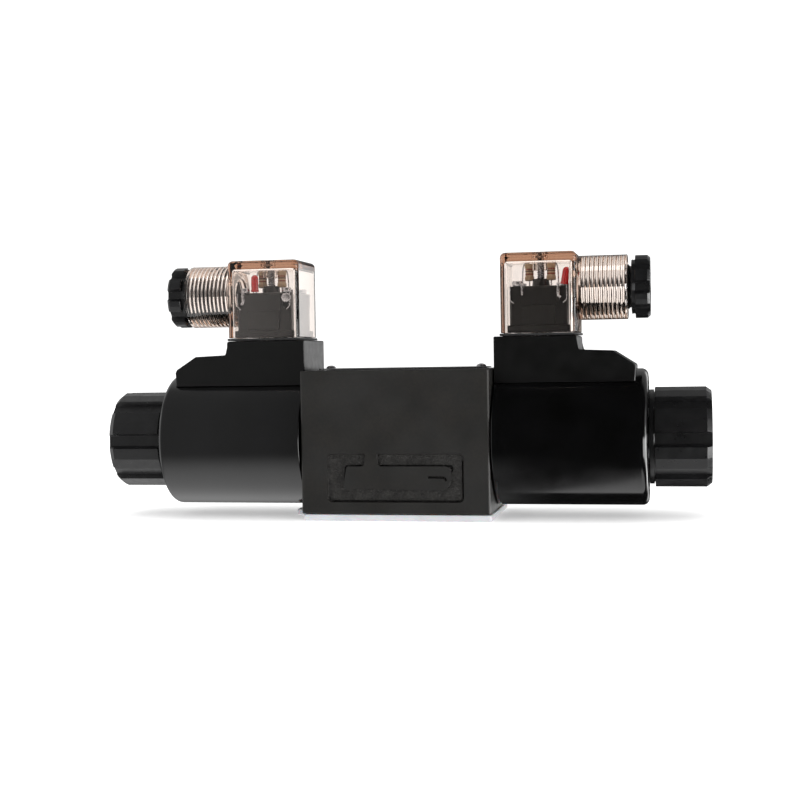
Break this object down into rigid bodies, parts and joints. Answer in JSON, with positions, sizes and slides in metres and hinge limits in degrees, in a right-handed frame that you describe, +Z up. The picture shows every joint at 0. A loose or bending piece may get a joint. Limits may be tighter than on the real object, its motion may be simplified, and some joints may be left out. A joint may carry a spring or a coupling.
{
  "type": "solenoid directional valve",
  "caption": "Spool valve block between two wet-pin solenoid coils, with clear plug connectors on top and a protective plate under its ports.",
  "frame": {"origin": "centre of the underside of the port cover plate, which the valve stands on", "axes": "+X along the spool axis towards the right solenoid, +Y from the labelled front to the back, +Z up"},
  "size_m": [0.2276, 0.0504, 0.0976],
  "materials": {
    "cast_iron": "dark phosphated casting with machined, slightly satin faces",
    "coil_shell": "black enamelled steel, satin to gloss",
    "moulded_black": "matt black glass-filled moulding",
    "nut_plastic": "smooth black moulding, semi-gloss",
    "clear_plastic": "clear polycarbonate, faintly warm, amber at thick edges",
    "rubber": "black nitrile rubber",
    "cover_plastic": "white translucent polyethylene moulding",
    "nameplate": "brushed blank aluminium label plate",
    "steel": "turned or ground steel",
    "spring_steel": "drawn spring wire",
    "brass": "turned brass",
    "blade_metal": "tin plated contact blade",
    "copper_winding": "enamelled copper wire",
    "bobbin_plastic": "natural glass-filled nylon",
    "red_lens": "red tinted lamp capsule"
  },
  "bodies": {
    "valve": {"valve_body": "cast_iron", "nameplate": "nameplate", "rivet_left": "steel", "rivet_right": "steel", "port_seal_a": "rubber", "port_seal_b": "rubber", "port_seal_p": "rubber", "port_seal_t": "rubber", "core_tube_left": "steel", "tube_stop_left": "steel", "tube_seal_left": "rubber", "centring_spring_left": "spring_steel", "core_tube_right": "steel", "tube_stop_right": "steel", "tube_seal_right": "rubber", "centring_spring_right": "spring_steel"},
    "port_cover": {"port_cover_plate": "cover_plastic"},
    "spool": {"spool": "steel", "spring_seat_left": "steel", "spring_seat_right": "steel"},
    "plunger_left": {"armature_left": "steel", "push_pin_left": "steel"},
    "override_left": {"override_pin_left": "brass"},
    "coil_left": {"coil_case_left": "coil_shell", "coil_bobbin_left": "bobbin_plastic", "coil_winding_left": "copper_winding", "terminal_base_left": "moulded_black", "line_blade_left": "blade_metal", "return_blade_left": "blade_metal", "earth_blade_left": "blade_metal"},
    "coil_nut_left": {"coil_nut_left": "nut_plastic", "nut_seal_left": "rubber"},
    "plug_left": {"plug_housing_left": "clear_plastic", "terminal_block_left": "moulded_black", "plug_gasket_left": "rubber", "plug_screw_left": "steel", "indicator_lamp_left": "red_lens", "cable_seal_left": "rubber"},
    "gland_nut_left": {"gland_nut_left": "nut_plastic"},
    "plunger_right": {"armature_right": "steel", "push_pin_right": "steel"},
    "override_right": {"override_pin_right": "brass"},
    "coil_right": {"coil_case_right": "coil_shell", "coil_bobbin_right": "bobbin_plastic", "coil_winding_right": "copper_winding", "terminal_base_right": "moulded_black", "line_blade_right": "blade_metal", "return_blade_right": "blade_metal", "earth_blade_right": "blade_metal"},
    "coil_nut_right": {"coil_nut_right": "nut_plastic", "nut_seal_right": "rubber"},
    "plug_right": {"plug_housing_right": "clear_plastic", "terminal_block_right": "moulded_black", "plug_gasket_right": "rubber", "plug_screw_right": "steel", "indicator_lamp_right": "red_lens", "cable_seal_right": "rubber"},
    "gland_nut_right": {"gland_nut_right": "nut_plastic"}
  },
  "joints": [
    {"name": "spool_shift", "type": "slide", "parent": "valve", "child": "spool", "axis": [1, 0, 0], "range_m": [-0.003, 0.003], "stiffness_N_per_m": 6000, "deforming": ["centring_spring_left", "centring_spring_right"]},
    {"name": "port_cover_lift_off", "type": "slide", "parent": "valve", "child": "port_cover", "axis": [0, 0, -1], "range_m": [0, 0.02]},
    {"name": "plunger_left_travel", "type": "slide", "parent": "valve", "child": "plunger_left", "axis": [1, 0, 0], "range_m": [-0.003, 0.003]},
    {"name": "override_left_press", "type": "slide", "parent": "valve", "child": "override_left", "axis": [1, 0, 0], "range_m": [0, 0.003], "stiffness_N_per_m": 500},
    {"name": "coil_left_swivel", "type": "hinge", "parent": "valve", "child": "coil_left", "pos_m": [-0.0635, 0, 0.0293], "axis": [1, 0, 0], "range_deg": [-90, 90]},
    {"name": "coil_nut_left_turn", "type": "hinge", "parent": "valve", "child": "coil_nut_left", "pos_m": [-0.1024, 0, 0.0293], "axis": [-1, 0, 0], "continuous": true},
    {"name": "plug_left_pull_off", "type": "slide", "parent": "coil_left", "child": "plug_left", "axis": [0, 0, 1], "range_m": [0, 0.02]},
    {"name": "gland_nut_left_turn", "type": "hinge", "parent": "plug_left", "child": "gland_nut_left", "pos_m": [-0.0884, 0, 0.0846], "axis": [-1, 0, 0], "continuous": true},
    {"name": "plunger_right_travel", "type": "slide", "parent": "valve", "child": "plunger_right", "axis": [1, 0, 0], "range_m": [-0.003, 0.003]},
    {"name": "override_right_press", "type": "slide", "parent": "valve", "child": "override_right", "axis": [-1, 0, 0], "range_m": [0, 0.003], "stiffness_N_per_m": 500},
    {"name": "coil_right_swivel", "type": "hinge", "parent": "valve", "child": "coil_right", "pos_m": [0.0635, 0, 0.0293], "axis": [1, 0, 0], "range_deg": [-90, 90]},
    {"name": "coil_nut_right_turn", "type": "hinge", "parent": "valve", "child": "coil_nut_right", "pos_m": [0.1024, 0, 0.0293], "axis": [1, 0, 0], "continuous": true},
    {"name": "plug_right_pull_off", "type": "slide", "parent": "coil_right", "child": "plug_right", "axis": [0, 0, 1], "range_m": [0, 0.02]},
    {"name": "gland_nut_right_turn", "type": "hinge", "parent": "plug_right", "child": "gland_nut_right", "pos_m": [0.0884, 0, 0.0846], "axis": [1, 0, 0], "continuous": true}
  ],
  "couplings": [
    {"joint": "plunger_left_travel", "follows": "spool_shift", "ratio": 1},
    {"joint": "plunger_right_travel", "follows": "spool_shift", "ratio": 1}
  ]
}
